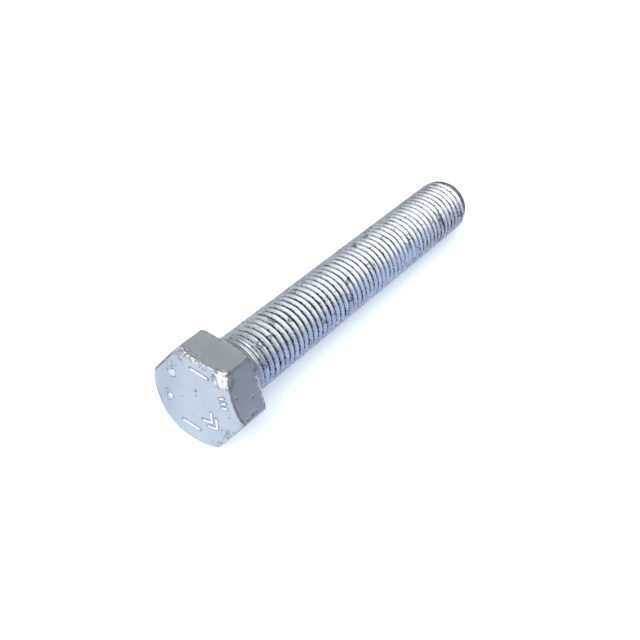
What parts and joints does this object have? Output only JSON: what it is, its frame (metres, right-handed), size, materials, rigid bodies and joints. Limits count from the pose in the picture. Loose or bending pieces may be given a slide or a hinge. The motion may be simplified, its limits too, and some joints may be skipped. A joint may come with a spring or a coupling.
{
  "type": "hex bolt",
  "caption": "Fully threaded hexagon head bolt: hex head with washer face, short plain neck, coarse right-hand thread to the tapered point.",
  "frame": {"origin": "centre of the bearing face under the head, on the bolt's axis", "axes": "+X along the bolt's axis, from the head towards the point; +Z square to one pair of wrench flats"},
  "size_m": [0.1754, 0.0402, 0.0352],
  "materials": {
    "zinc_coated_steel": "dull grey zinc coat, slightly rough, with nicks and dark grime"
  },
  "bodies": {
    "root": {"hex_head": "zinc_coated_steel", "head_bars": "zinc_coated_steel", "head_marks": "zinc_coated_steel", "washer_face": "zinc_coated_steel", "underhead_neck": "zinc_coated_steel", "thread_runout": "zinc_coated_steel", "threaded_shank": "zinc_coated_steel", "thread_point": "zinc_coated_steel"}
  },
  "joints": []
}
